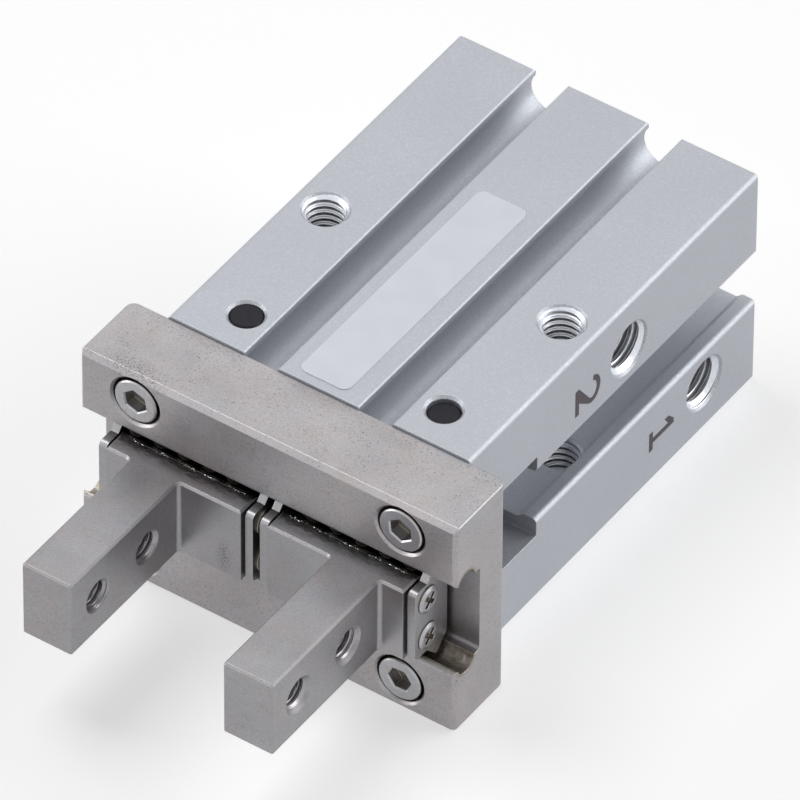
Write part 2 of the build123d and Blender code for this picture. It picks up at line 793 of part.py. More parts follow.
def build():
    """Make every piece and write its file."""
    os.makedirs("parts", exist_ok=True)
    save("body", body())
    save("guide", guide())
    save("guide_screws", *guide_screws())
    right_lever = lever()
    save("lever_right", right_lever)
    save("lever_left", Rot(0, 180, 0) * right_lever)
    save("lever_shaft_right", lever_shaft(-shaft_shift))
    save("lever_shaft_left", mirrored(lever_shaft(shaft_shift)))
    right_jaw = jaw()
    save("jaw_right", right_jaw)
    save("jaw_left", mirrored(right_jaw))
    for place, seat, outward in (("inner", inner_plate_face, -1), ("outer", outer_plate_face, 1)):
        plate = stop_plate(seat, outward)
        screws = plate_screws(seat, outward)
        save(f"stop_plate_{place}_right", plate)
        save(f"stop_plate_{place}_left", mirrored(plate))
        save(f"plate_screws_{place}_right", *screws)
        save(f"plate_screws_{place}_left", *[mirrored(screw) for screw in screws])
    for level, face in (("upper", 1), ("lower", -1)):
        balls = ball_row(face)
        save(f"balls_{level}_right", *balls)
        save(f"balls_{level}_left", *[mirrored(ball) for ball in balls])
    save("piston", piston())
    save("rod_pin", rod_pin())
    save("piston_seal", piston_seal())
    save("magnet", magnet())
    save("end_cap", end_cap())
    save("cap_gasket", cap_gasket())
    save("retaining_ring", retaining_ring())
    save("rod_seal", rod_seal())
    save("seal_support", seal_support())
    save("front_bumper", front_bumper())
    save("rear_bumper", rear_bumper())
    save("label", label())


build()
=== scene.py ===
"""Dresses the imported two-jaw gripper: finishes, screw threads, port numbers, grease and a studio to look at it in."""
import math

import bpy
import numpy as np
from bpy.props import FloatProperty, FloatVectorProperty, PointerProperty
from mathutils import Matrix, Vector


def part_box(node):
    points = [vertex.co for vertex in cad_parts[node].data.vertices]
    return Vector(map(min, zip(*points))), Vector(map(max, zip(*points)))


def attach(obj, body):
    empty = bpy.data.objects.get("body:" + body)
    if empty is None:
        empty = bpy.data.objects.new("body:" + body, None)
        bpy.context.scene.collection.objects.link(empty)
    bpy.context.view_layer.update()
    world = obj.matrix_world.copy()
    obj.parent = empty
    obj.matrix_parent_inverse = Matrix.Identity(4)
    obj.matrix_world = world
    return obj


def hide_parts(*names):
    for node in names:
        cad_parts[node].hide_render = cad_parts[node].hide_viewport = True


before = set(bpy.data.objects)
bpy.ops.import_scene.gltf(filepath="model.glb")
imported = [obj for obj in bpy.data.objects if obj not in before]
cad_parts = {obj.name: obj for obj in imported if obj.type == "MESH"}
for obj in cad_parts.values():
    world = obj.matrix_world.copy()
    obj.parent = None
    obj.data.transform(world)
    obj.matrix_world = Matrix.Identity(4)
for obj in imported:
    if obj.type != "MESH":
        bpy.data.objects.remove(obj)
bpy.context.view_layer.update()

bl_info = {
    "name": "Parallel Gripper Dressing",
    "version": (1, 0, 0),
    "blender": (4, 5, 0),
    "location": "View3D > Sidebar > Gripper",
    "description": "Finishes, threads, port numbers and a studio for a packed two-jaw gripper",
    "category": "Object",
}

MM = 0.001
JAWS = {"right": 1, "left": -1}
PLATES = tuple(f"{place}_{side}" for place in ("inner", "outer") for side in JAWS)

# Sizes of the solids in millimetres. A hole is given by its place in its face.
HALF_WIDTH, HALF_HEIGHT = 15.3, 11.8
BODY_HOLE, BODY_RIM = (12, -24.5), 2.2
SHAFT_HOLE, SHAFT_RIM = (10, -38.85), 1.76
PORTS, PORT_RIM = ((-19.3, 6.5), (-7.65, -6.5)), 2.72
REAR_HOLE = (12, 7.4)
JAW_SIDE, JAW_HOLES = 12.65, (-63.5, -56.45)
BALL_LINE, FIRST_BALL, BALL_PITCH, BALLS = (-48.5, 4.5), 2.9, 2.6, 5
CARRIAGE_TOP, CARRIAGE_ENDS = 4.0, (1.7, 14.7)

# Depth of a full screw thread as a share of its pitch, and how far in millimetres the roots of its ridges stand in
# front of the hole's wall and the back of its shell lies behind it
THREAD_DEPTH, ROOT_GAP, BACK_GAP = 0.5413, 0.015, 0.02


# Settings


def colour(name, description, *rgb):
    """A colour setting, linear red, green and blue."""
    return FloatVectorProperty(name=name, description=description, subtype="COLOR", size=3, min=0, max=1, default=rgb)


def length(name, description, millimetres):
    """A length setting, given here in millimetres and kept in metres."""
    return FloatProperty(name=name, description=description, unit="LENGTH", precision=5, default=millimetres * MM)


def angle(name, description, degrees):
    """An angle setting, given here in degrees."""
    return FloatProperty(name=name, description=description, subtype="ANGLE", default=math.radians(degrees))


def factor(name, description, value):
    """A share between 0 and 1."""
    return FloatProperty(name=name, description=description, subtype="FACTOR", min=0, max=1, default=value)


def power(name, description, watts):
    """A lamp's power."""
    return FloatProperty(name=name, description=description, unit="POWER", default=watts)


class GripperFinishSettings(bpy.types.PropertyGroup):
    """Colours and surface sizes of the gripper's own pieces."""

    body_colour: colour("Body", "Blasted and clear anodised aluminium", 0.490, 0.508, 0.550)
    guide_colour: colour("Guide", "Ground steel of the guide rail", 0.402, 0.385, 0.395)
    jaw_colour: colour("Jaws", "Ground steel of the jaws", 0.345, 0.337, 0.352)
    plate_colour: colour("Stop plates", "Pressed steel sheet", 0.37, 0.37, 0.385)
    screw_colour: colour("Screws", "Plated screws", 0.43, 0.43, 0.45)
    pin_colour: colour("Shafts", "Blackened lever shafts", 0.012, 0.012, 0.018)
    # Near black: grease on the balls and painted shade in the gap under the guide's lips.
    shaded_ball_colour: colour("Balls", "Greased bearing balls", 0.05, 0.048, 0.045)
    lever_colour: colour("Levers", "Hardened steel levers", 0.22, 0.215, 0.21)
    label_colour: colour("Label", "Silver film of the label", 0.66, 0.68, 0.735)
    grime_colour: colour("Grime", "Thin brown dirt in patches on the steel", 0.17, 0.145, 0.125)
    stain_colour: colour("Stains", "Brown marks and specks on the steel", 0.055, 0.054, 0.040)
    grease_colour: colour("Grease", "Dark grease round the balls", 0.05, 0.045, 0.035)
    # The oily colour below also serves as the painted shade in hollows.
    oil_and_recess_shade_colour: colour("Oil", "Brown film of oil in grooves and corners", 0.25, 0.222, 0.175)
    # The film colour is painted shade on the jaws beside the gaps under the guide's lips, partly also grease.
    grease_and_shade_colour: colour("Film", "Dark film of grease on the jaws beside the gaps", 0.075, 0.068, 0.058)
    # Edge colour, edge width and the edge brightness paint edges lighter, partly as worn metal and partly as painted
    # highlight; edge width also rounds the edges' normals.
    worn_and_highlit_edge_colour: colour("Edges", "Bare steel at worn edges", 0.72, 0.67, 0.60)
    grain_size: length("Grain size", "Width of one dimple of the blasted surface", 0.17)
    edge_width: length("Edge width", "Width over which an edge is worn bright", 0.10)
    wear_and_highlight: factor("Wear", "How bright the worn edges are", 0.55)
    dirt_and_shade: factor("Dirt", "How much brown dirt lies on the steel", 0.12)


class GripperThreadSettings(bpy.types.PropertyGroup):
    """Sizes of the screw threads."""

    body_diameter: length("Body thread", "Outer diameter of the body's front and rear threads", 4.0)
    body_pitch: length("Body pitch", "Advance of the body threads in one turn", 0.7)
    port_diameter: length("Port thread", "Outer diameter of the air port threads", 5.0)
    port_pitch: length("Port pitch", "Advance of the port threads in one turn", 0.8)
    jaw_diameter: length("Jaw thread", "Outer diameter of the jaw threads", 3.0)
    jaw_pitch: length("Jaw pitch", "Advance of the jaw threads in one turn", 0.5)


class GripperMarkSettings(bpy.types.PropertyGroup):
    """Plain numbers beside the air ports."""

    height: length("Height", "Height of a number", 3.7)
    width: length("Width", "Width of a number", 2.9)
    stroke: length("Stroke", "Width of the printed line", 0.55)
    ink: length("Ink", "How far the ink stands proud of the body", 0.012)
    ink_colour: colour("Ink colour", "Dark grey printing ink", 0.125, 0.11, 0.125)


class GripperStageSettings(bpy.types.PropertyGroup):
    """Camera, lamps and floor."""

    azimuth: angle("Azimuth", "Camera's turn about Z from straight in front", 34.5561)
    elevation: angle("Elevation", "Camera's height above the horizon", 43.4484)
    roll: angle("Roll", "Camera's turn about its own axis", -0.3717)
    distance: length("Distance", "From the camera to its target", 1316.02)
    target_y: length("Target Y", "Where the camera looks, along the gripper", -30.771)
    target_z: length("Target Z", "Height at which the camera looks", 1.154)
    lens: FloatProperty(name="Lens", description="Focal length for a 36 mm sensor", unit="CAMERA", default=707.336)
    floor_colour: colour("Floor", "Pale paper under the gripper", 0.70, 0.70, 0.70)
    floor_lift: factor("Floor lift", "Brightness added to the paper for the camera and for reflections", 0.55)
    edge_power: power("Edge lamp", "Lamp above that lights the front edges", 1.6)
    side_power: power("Side lamp", "Large soft lamp beyond the ports", 4.1)
    left_power: power("Left lamp", "Lamp low on the left", 2.4)
    room_light: factor("Room light", "Brightness of the room", 0.04)


# Shader helpers


def add_node(tree, kind, settings=None, **sockets):
    """Adds one node. Settings are its properties. A socket is named with underscores, or s and its number, and takes a
    value or a link."""
    node = tree.nodes.new(kind)
    for name, value in (settings or {}).items():
        setattr(node, name, value)
    for name, value in sockets.items():
        key = int(name[1:]) if name[1:].isdigit() else name.replace("_", " ")
        connect(tree, value, node.inputs[key])
    return node


def connect(tree, value, socket):
    """Links a socket to another, or writes a number or colour into it."""
    if isinstance(value, bpy.types.NodeSocket):
        tree.links.new(value, socket)
    elif socket.type == "RGBA":
        socket.default_value = (*value, 1) if len(value) == 3 else value
    else:
        socket.default_value = value


def math_node(tree, operation, *values, clamp=False):
    """One Math node's result."""
    node = tree.nodes.new("ShaderNodeMath")
    node.operation = operation
    node.use_clamp = clamp
    for value, socket in zip(values, node.inputs):
        connect(tree, value, socket)
    return node.outputs[0]


def multiply(tree, first, second, clamp=False):
    """The product of two numbers."""
    return math_node(tree, "MULTIPLY", first, second, clamp=clamp)


def vector_node(tree, operation, *values, output=0):
    """One Vector Math node's result."""
    node = tree.nodes.new("ShaderNodeVectorMath")
    node.operation = operation
    for value, socket in zip(values, node.inputs):
        connect(tree, value, socket)
    return node.outputs[output]


def mix_colours(tree, share, first, second, blend="MIX"):
    """First colour where share is 0, second where it is 1."""
    node = tree.nodes.new("ShaderNodeMix")
    node.data_type = "RGBA"
    node.blend_type = blend
    connect(tree, share, node.inputs[0])
    connect(tree, first, node.inputs[6])
    connect(tree, second, node.inputs[7])
    return node.outputs[2]


def remap(tree, value, low, high, to_low=0.0, to_high=1.0):
    """Straight-line change of range, held at both ends."""
    node = add_node(tree, "ShaderNodeMapRange", {"clamp": True}, Value=value, From_Min=low, From_Max=high,
                    To_Min=to_low, To_Max=to_high)
    return node.outputs[0]


def noise_at(tree, vector, scale, detail=2.0, roughness=0.5):
    """Noise with about as many lumps to a metre as the scale, which may be a link."""
    node = add_node(tree, "ShaderNodeTexNoise", Vector=vector, Scale=scale, Detail=detail, Roughness=roughness)
    return node.outputs["Fac"]


def noise(tree, vector, size, detail=2.0, roughness=0.5):
    """Noise whose lumps are about as wide as size, in metres."""
    return noise_at(tree, vector, 1 / size, detail, roughness)


def blasted_grain(tree, given):
    """Fine dimples left by blasting: two sizes of noise, one over the other."""
    place = vector_node(tree, "SCALE", given["Vector"])
    tree.links.new(given["Scale"], place.node.inputs["Scale"])
    fine, coarse = noise_at(tree, place, 1.0, 2.0, 0.65), noise_at(tree, place, 0.35, 1.0)
    height = math_node(tree, "ADD", multiply(tree, fine, 0.7), multiply(tree, coarse, 0.3))
    return {"Height": height, "Sparkle": remap(tree, fine, 0.52, 0.72)}


def ground_grain(tree, given):
    """Fine parallel scratches left by grinding: noise stretched along one axis of the given place."""
    place = vector_node(tree, "MULTIPLY", given["Vector"], given["Stretch"])
    return {"Height": noise_at(tree, place, 1.0, 3.0, 0.6)}


# The mask paints edges lighter in the finishes, as worn metal and as painted highlight.
def worn_and_highlit_edges(tree, given):
    """Rounded normal near edges, and a mask where that normal leaves the surface's own by more than a few degrees."""
    rounded = add_node(tree, "ShaderNodeBevel", {"samples": 6}, Radius=given["Radius"]).outputs[0]
    flat = tree.nodes.new("ShaderNodeNewGeometry").outputs["Normal"]
    lean = math_node(tree, "SUBTRACT", 1.0, vector_node(tree, "DOT_PRODUCT", rounded, flat, output=1))
    nicks = noise_at(tree, given["Vector"], given["Nick Scale"], 3.0, 0.6)
    broken = remap(tree, nicks, 0.38, 0.62, 0.15, 1.0)
    return {"Mask": multiply(tree, remap(tree, lean, 0.01, 0.09), broken, clamp=True), "Normal": rounded}


def speck_mask(tree, given):
    """Scattered small uneven dots: the peaks of a fine noise, kept where a broad noise is high."""
    fine = noise_at(tree, given["Vector"], given["Scale"], 1.0, 0.4)
    broad = noise_at(tree, given["Vector"], 450.0, 2.0, 0.6)
    level = math_node(tree, "SUBTRACT", 0.80, multiply(tree, given["Amount"], broad))
    return {"Mask": remap(tree, math_node(tree, "SUBTRACT", fine, level), 0.0, 0.05)}


def mottling(tree, given):
    """Cloudy tints: the given colour drifts a little towards warm and towards cool, in patches of two sizes."""
    broad, small = (noise(tree, given["Vector"], size * MM, 3.0, 0.6) for size in (4, 0.7))
    cool, warm = (mix_colours(tree, 1.0, given["Colour"], tint, "MULTIPLY")
                  for tint in ((0.91, 0.97, 1.0), (1.0, 0.93, 0.89)))
    drift = math_node(tree, "ADD", multiply(tree, broad, 0.6), multiply(tree, small, 0.4))
    tint = mix_colours(tree, remap(tree, drift, 0.38, 0.62), cool, warm)
    return {"Colour": mix_colours(tree, given["Spread"], given["Colour"], tint)}


def recess_shade_mask(tree, given):
    """How deep in a corner a point lies: 0 in the open, 1 where nearly all around within the reach is metal. The
    finishes paint shade in hollows with it.
    """
    open_share = add_node(tree, "ShaderNodeAmbientOcclusion", {"samples": 8}, Distance=given["Reach"]).outputs["AO"]
    return {"Mask": remap(tree, open_share, 0.35, 0.85, 1.0, 0.0)}


# Shared effects: what makes each, and its inputs with their defaults
EFFECTS = {
    "Blasted grain": (blasted_grain, {"Vector": (0, 0, 0), "Scale": 9000.0}),
    "Ground grain": (ground_grain, {"Vector": (0, 0, 0), "Stretch": (60.0, 7000.0, 7000.0)}),
    "Worn and highlit edges": (worn_and_highlit_edges, {"Vector": (0, 0, 0), "Radius": 0.0001, "Nick Scale": 1500.0}),
    "Specks": (speck_mask, {"Vector": (0, 0, 0), "Scale": 8000.0, "Amount": 0.5}),
    "Mottle": (mottling, {"Vector": (0, 0, 0), "Colour": (1, 1, 1, 1), "Spread": 0.5}),
    "Recess shade": (recess_shade_mask, {"Reach": 0.0005}),
}


def new_group(name):
    """A shared effect as a shader node group."""
    make, inputs = EFFECTS[name]
    tree = bpy.data.node_groups.new(name, "ShaderNodeTree")
    for label, given in inputs.items():
        kind = {3: "Vector", 4: "Color"}[len(given)] if isinstance(given, tuple) else "Float"
        tree.interface.new_socket(label, in_out="INPUT", socket_type=f"NodeSocket{kind}").default_value = given
    made = make(tree, tree.nodes.new("NodeGroupInput").outputs)
    for label, value in made.items():
        kind = {"VALUE": "Float", "VECTOR": "Vector", "RGBA": "Color"}[value.type]
        tree.interface.new_socket(label, in_out="OUTPUT", socket_type=f"NodeSocket{kind}")
    add_node(tree, "NodeGroupOutput", **made)
    return tree


def use_effect(tree, name, **sockets):
    """Places a shared effect in a material, and makes the effect's group the first time."""
    group = bpy.data.node_groups.get(name) or new_group(name)
    return add_node(tree, "ShaderNodeGroup", {"node_tree": group}, **sockets).outputs


def emptied(owner):
    """The node tree of a material or world, with nothing in it."""
    owner.use_nodes = True
    owner.node_tree.nodes.clear()
    return owner.node_tree


def new_material(name):
    """A material with only its output and a Principled BSDF."""
    material = bpy.data.materials.new(name)
    tree = emptied(material)
    shader = tree.nodes.new("ShaderNodeBsdfPrincipled")
    add_node(tree, "ShaderNodeOutputMaterial", Surface=shader.outputs[0])
    return material, tree, shader, tree.nodes.new("ShaderNodeTexCoord").outputs["Object"]


def shade(base, share):
    """A colour made lighter (share over 1) or darker."""
    return tuple(min(1.0, part * share) for part in base)


def cloudy(tree, share, base, spread):
    """A colour that drifts from a little darker to a little lighter as the share goes from 0 to 1."""
    return mix_colours(tree, share, shade(base, 1 - spread), shade(base, 1 + spread))


# Finishes


def distance(tree, first, second, centre):
    """How far two coordinates are from a centre given in millimetres."""
    across = math_node(tree, "SUBTRACT", first, centre[0] * MM)
    along = math_node(tree, "SUBTRACT", second, centre[1] * MM)
    return math_node(tree, "SQRT", math_node(tree, "ADD", multiply(tree, across, across), multiply(tree, along, along)))


def inside_circle(tree, first, second, centre, radius):
    """1 where two coordinates lie within a radius of a centre given in millimetres, 0 outside."""
    return remap(tree, distance(tree, first, second, centre), (radius - 0.01) * MM, (radius + 0.01) * MM, 1.0, 0.0)


def cut_rims(tree, place):
    """1 on the bevels that were cut into the blasted body: round the screw holes, the shafts and the air ports."""
    x, y, z = add_node(tree, "ShaderNodeSeparateXYZ", Vector=place).outputs
    side, height = math_node(tree, "ABSOLUTE", x), math_node(tree, "ABSOLUTE", z)
    near_face = remap(tree, height, (HALF_HEIGHT - 0.4) * MM, (HALF_HEIGHT - 0.39) * MM)
    upright = math_node(tree, "ADD", inside_circle(tree, side, y, BODY_HOLE, BODY_RIM),
                        inside_circle(tree, side, y, SHAFT_HOLE, SHAFT_RIM))
    ports = math_node(tree, "ADD", *(inside_circle(tree, y, z, port, PORT_RIM) for port in PORTS))
    on_flank = remap(tree, x, (HALF_WIDTH - 0.4) * MM, (HALF_WIDTH - 0.39) * MM)
    return math_node(tree, "ADD", multiply(tree, upright, near_face), multiply(tree, ports, on_flank), clamp=True)


def link_finish(tree, shader, metallic, tone, rough, height, depth, **normal):
    """Fills in a material's metallic share, colour and roughness, and its bump, whose depth is in millimetres."""
    bump = add_node(tree, "ShaderNodeBump", Strength=1.0, Distance=depth * MM, Height=height, **normal).outputs[0]
    for name, value in (("Metallic", metallic), ("Base Color", tone), ("Roughness", rough), ("Normal", bump)):
        connect(tree, value, shader.inputs[name])


def blasted_alloy(settings):
    """Blasted and anodised metal: fine dimples, faint cloudy patches, edges painted lighter and sparkling as worn metal
    and as painted highlight, and scratched cut bevels.
    """
    material, tree, shader, place = new_material("Blasted alloy")
    base = settings.body_colour
    grain = use_effect(tree, "Blasted grain", Vector=place, Scale=1 / settings.grain_size)
    edges = use_effect(tree, "Worn and highlit edges", Vector=place, Radius=settings.edge_width, Nick_Scale=4000.0)
    patches = noise(tree, place, 9 * MM, 3.0)
    tone = cloudy(tree, remap(tree, patches, 0.35, 0.65), base, 0.03)
    tone = mix_colours(tree, remap(tree, grain["Height"], 0.3, 0.7), shade(base, 0.93), tone)
    tone = mix_colours(tree, multiply(tree, grain["Sparkle"], 0.16), tone, shade(base, 1.5))
    rims = cut_rims(tree, place)
    scratches = remap(tree, noise(tree, place, 0.12 * MM, 3.0, 0.7), 0.35, 0.65)
    tone = mix_colours(tree, rims, tone, mix_colours(tree, scratches, shade(base, 0.68), shade(base, 1.1)))
    # Painted highlight along the edges, broken up by the grain; it also stands for worn metal.
    glint = multiply(tree, edges["Mask"], remap(tree, grain["Height"], 0.42, 0.58, 0.15, 1.0))
    tone = mix_colours(tree, multiply(tree, glint, settings.wear_and_highlight), tone, shade(base, 1.6))
    rough = remap(tree, rims, 0.0, 1.0, remap(tree, grain["Sparkle"], 0.0, 1.0, 0.55, 0.43), 0.48)
    link_finish(tree, shader, 0.7, tone, rough, grain["Height"], 0.025, Normal=edges["Normal"])
    return material


def ground_metal(name, base, roughness, settings, stretch=(60.0, 7000.0, 7000.0), specks=0.0, stains=(),
                 patch_spread=0.06, edge=None, depth=0.004, edge_width=1.0, mottle=0.5, recess_shade=0.0, film=None,
                 shaded_bevels=False):
    """Ground steel: faint scratches, cloudy tints, dark specks, brown stains at given places, edges painted lighter as
    worn metal and as painted highlight, painted shade in its hollows, a film near the balls, given by its reach and
    colour, that is oily on the guide and painted shade with grease on the jaws, and on the jaws painted shade on the
    bevels, which are also rougher."""
    material, tree, shader, place = new_material(name)
    scratches = use_effect(tree, "Ground grain", Vector=place, Stretch=stretch)
    edges = use_effect(tree, "Worn and highlit edges", Vector=place, Radius=settings.edge_width * edge_width)
    patches = noise(tree, place, 5 * MM, 4.0)
    fine = noise(tree, place, 0.2 * MM)
    tone = cloudy(tree, remap(tree, patches, 0.3, 0.7), base, patch_spread)
    tone = mix_colours(tree, remap(tree, fine, 0.35, 0.7, 0.0, 0.6), tone, shade(base, 0.84))
    grit = noise(tree, place, 0.09 * MM, 2.0, 0.7)
    tone = mix_colours(tree, remap(tree, grit, 0.5, 0.68, 0.0, 0.5), tone, shade(base, 1.3))
    grime = multiply(tree, remap(tree, noise(tree, place, 1.6 * MM, 6.0, 0.75), 0.5, 0.68), settings.dirt_and_shade)
    tone = mix_colours(tree, grime, tone, settings.grime_colour)
    tone = use_effect(tree, "Mottle", Vector=place, Colour=tone, Spread=mottle)["Colour"]
    if specks:
        dots = use_effect(tree, "Specks", Vector=place, Amount=specks)
        tone = mix_colours(tree, multiply(tree, dots["Mask"], 0.6), tone, settings.stain_colour)
    for centre, reach, strength in stains:
        tone = stained(tree, place, tone, centre, reach, strength, settings)
    height = scratches["Height"]
    # A film near the balls: oily on the guide, painted shade with grease on the jaws.
    if film:
        oil_and_shade = oil_and_shade_film(tree, place, film[0])
        tone = mix_colours(tree, oil_and_shade, tone, film[1])
        ripples = multiply(tree, oil_and_shade, noise(tree, place, 0.8 * MM, 3.0, 0.6))
        height = math_node(tree, "ADD", height, multiply(tree, ripples, 30.0))
    # Painted shade: hollows darkened towards the brown oily colour by how enclosed they are.
    if recess_shade:
        dirt_and_shade = multiply(tree, use_effect(tree, "Recess shade", Reach=1.2 * MM)["Mask"], recess_shade)
        tone = mix_colours(tree, dirt_and_shade, tone, settings.oil_and_recess_shade_colour)
    rough = remap(tree, patches, 0.3, 0.7, roughness - 0.04, roughness + 0.04)
    # Painted shade: faces that look both sideways and up or down are darkened and made rougher, to dim their highlight.
    if shaded_bevels:
        bevel_shade = bevel_mask(tree)
        tone = mix_colours(tree, multiply(tree, bevel_shade, 0.5), tone, shade(base, 0.7))
        rough = remap(tree, bevel_shade, 0.0, 1.0, rough, 0.62)
    # Edges painted lighter: partly worn steel, partly painted highlight.
    worn_and_highlit = multiply(tree, edges["Mask"], settings.wear_and_highlight)
    tone = mix_colours(tree, worn_and_highlit, tone, edge or settings.worn_and_highlit_edge_colour)
    link_finish(tree, shader, 1.0, tone, rough, height, depth, Normal=edges["Normal"])
    return material


def bevel_mask(tree):
    """1 on faces that look both sideways and up or down, where the jaws get painted shade: the bevels along the jaws
    and parts of their holes' cones.
    """
    normal = tree.nodes.new("ShaderNodeTexCoord").outputs["Normal"]
    x, _, z = add_node(tree, "ShaderNodeSeparateXYZ", Vector=normal).outputs
    return remap(tree, math_node(tree, "ABSOLUTE", multiply(tree, x, z)), 0.15, 0.35)


# On the guide this mask lays an oily film; on the jaws it paints shade beside the gaps, with grease.
def oil_and_shade_film(tree, place, reach):
    """1 near the two lines on which the balls run, fading out at the reach in millimetres, with uneven patches."""
    _, y, z = add_node(tree, "ShaderNodeSeparateXYZ", Vector=place).outputs
    away = distance(tree, y, math_node(tree, "ABSOLUTE", z), BALL_LINE)
    near = remap(tree, away, 1.25 * MM, reach * MM, 1.0, 0.0)
    return multiply(tree, near, remap(tree, noise(tree, place, 0.9 * MM, 3.0), 0.3, 0.55, 0.45, 0.95))


def stained(tree, place, tone, centre, reach, strength, settings):
    """Brown freckles that thin out with distance from a centre; reach is the half size along each axis."""
    offset = vector_node(tree, "SUBTRACT", place, tuple(part * MM for part in centre))
    spread = vector_node(tree, "DIVIDE", offset, tuple(part * MM for part in reach))
    near = remap(tree, vector_node(tree, "LENGTH", spread, output=1), 0.2, 1.0, 1.0, 0.0)
    freckles = remap(tree, noise(tree, place, 0.17 * MM, 3.0, 0.75), 0.48, 0.62)
    return mix_colours(tree, multiply(tree, multiply(tree, near, freckles), strength, clamp=True), tone,
                       settings.stain_colour)


def smooth_material(name, base, roughness, metallic=0.0, spread=0.1, size=0.6, coat=0.0, gloss=0.5):
    """Plain rubber, plastic, ink or polished metal with a faint mottle and a slightly uneven skin."""
    material, tree, shader, place = new_material(name)
    shader.inputs["Coat Weight"].default_value = coat
    shader.inputs["Specular IOR Level"].default_value = gloss
    lumps = noise(tree, place, size * MM, 3.0)
    rough = remap(tree, lumps, 0.2, 0.8, roughness - 0.05, roughness + 0.05)
    link_finish(tree, shader, metallic, cloudy(tree, lumps, base, spread), rough, lumps, 0.003)
    return material


def dress(material, *nodes):
    """Gives a finish to CAD nodes."""
    for node in nodes:
        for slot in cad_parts[node].material_slots:
            slot.material = material


# Mesh helpers


def add_object(name, data):
    """A new object in the scene."""
    item = bpy.data.objects.new(name, data)
    bpy.context.scene.collection.objects.link(item)
    return item


def new_piece(name, vertices, faces, material, body, slot):
    """A new piece of the gripper, in metres and in place, that rides on one body."""
    mesh = bpy.data.meshes.new(name)
    mesh.from_pydata(vertices, [], faces)
    mesh.validate()
    mesh.materials.append(material)
    mesh.shade_smooth()
    piece = add_object(name, mesh)
    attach(piece, body)
    return piece


def closed_loops(points):
    """Quads over a grid of points that is closed both ways, as (vertices, faces), turned to face outwards."""
    rows, columns = points.shape[:2]
    here = np.arange(rows * columns).reshape(rows, columns)
    right, up = np.roll(here, -1, axis=1), np.roll(here, -1, axis=0)
    both = np.roll(right, -1, axis=0)
    faces = np.stack([here, right, both, up], axis=-1).reshape(-1, 4)
    vertices = points.reshape(-1, 3)
    corner = vertices[faces]
    volume = sum((corner[:, 0] * np.cross(corner[:, third - 1], corner[:, third])).sum() for third in (2, 3))
    return vertices, faces if volume > 0 else faces[:, ::-1]


def ring_quads(rows, around):
    """Numbers of a grid's points, whose rows are closed rings, and the quads between neighbouring rings."""
    here = np.arange(rows * around).reshape(rows, around)
    after = np.roll(here, -1, axis=1)
    return here, np.stack([here[:-1], after[:-1], after[1:], here[1:]], axis=-1).reshape(-1, 4)


def ridge_height(phase, crest, root, cleft):
    """Height across one ridge for a phase from 0 to 1: 0 at both ends over half the root's share, 1 over the crest's
    share in the middle, straight between, and less a V-shaped cleft in the crest's middle of the given depth."""
    lean = (1 - crest - root) / 2
    away = np.abs(phase - 0.5)
    height = np.clip((0.5 - root / 2 - away) / lean, 0, 1)
    return height - cleft * np.clip(1 - away / (0.35 * crest), 0, 1)


def thread_shell(mouth, inward, radius, pitch, span, chamfers, turn, crest=0.2, root=0.14, cleft=0.0, steps=16,
                 around=52):
    """The ridges in one threaded hole, as a closed shell that lines it.

    A point is given by its bearing about the hole's axis and its depth from the mouth. The ridge's phase is the depth
    in pitches less the bearing as a share of a turn, so it climbs one pitch a turn, plus the share of a turn by which
    this hole's thread starts early. A 45 degree cone cuts the ridges back at each chamfered end. A plain cylinder
    just behind the wall closes the shell."""
    start, end = span
    depth = np.linspace(start, end, int((end - start) / pitch * steps) + 2)
    bearing = np.linspace(0, 2 * np.pi, around, endpoint=False)
    phase = (depth[None, :] / pitch - bearing[:, None] / (2 * np.pi) + turn) % 1.0
    roots, back = radius - ROOT_GAP * MM, radius + BACK_GAP * MM
    inner = roots - THREAD_DEPTH * pitch * ridge_height(phase, crest, root, cleft)
    cone = np.full_like(depth, -1.0)
    if chamfers[0]:
        cone = np.maximum(cone, radius + start - depth)
    if chamfers[1]:
        cone = np.maximum(cone, radius - end + depth)
    inner = np.minimum(np.maximum(inner, cone[None, :]), roots)
    loop_radius = np.concatenate([inner, np.full((around, 2), back)], axis=1)
    loop_depth = np.concatenate([depth, [end, start]])
    axis = np.array(inward, float)
    side = np.array((1.0, 0, 0) if axis[1] else (0, 1.0, 0))
    ring = np.cos(bearing)[:, None] * side + np.sin(bearing)[:, None] * np.cross(axis, side)
    points = np.array(mouth) + loop_radius[..., None] * ring[:, None, :] + loop_depth[None, :, None] * axis
    return closed_loops(points)


def joined(shells):
    """Several shells as one mesh. A shell's faces are one array, or several whose corners differ in number."""
    vertices, faces, total = [], [], 0
    for shell_vertices, *shell_faces in shells:
        vertices.append(shell_vertices)
        for group in shell_faces:
            faces += (group + total).tolist()
        total += len(shell_vertices)
    return np.concatenate(vertices), faces


# Operators


class GRIPPER_OT_finish_body(bpy.types.Operator):
    """Blasted aluminium on the body, and the blackened lever shafts in it"""

    bl_idname = "gripper.finish_body"
    bl_label = "Body Finish"

    def execute(self, context):
        settings = context.scene.gripper_finish
        dress(blasted_alloy(settings), "body", "end_cap")
        pins = smooth_material("Blackened pin", settings.pin_colour, 0.4, spread=0.6, size=0.35, gloss=0.25)
        dress(pins, "lever_shaft_right", "lever_shaft_left")
        return {"FINISHED"}


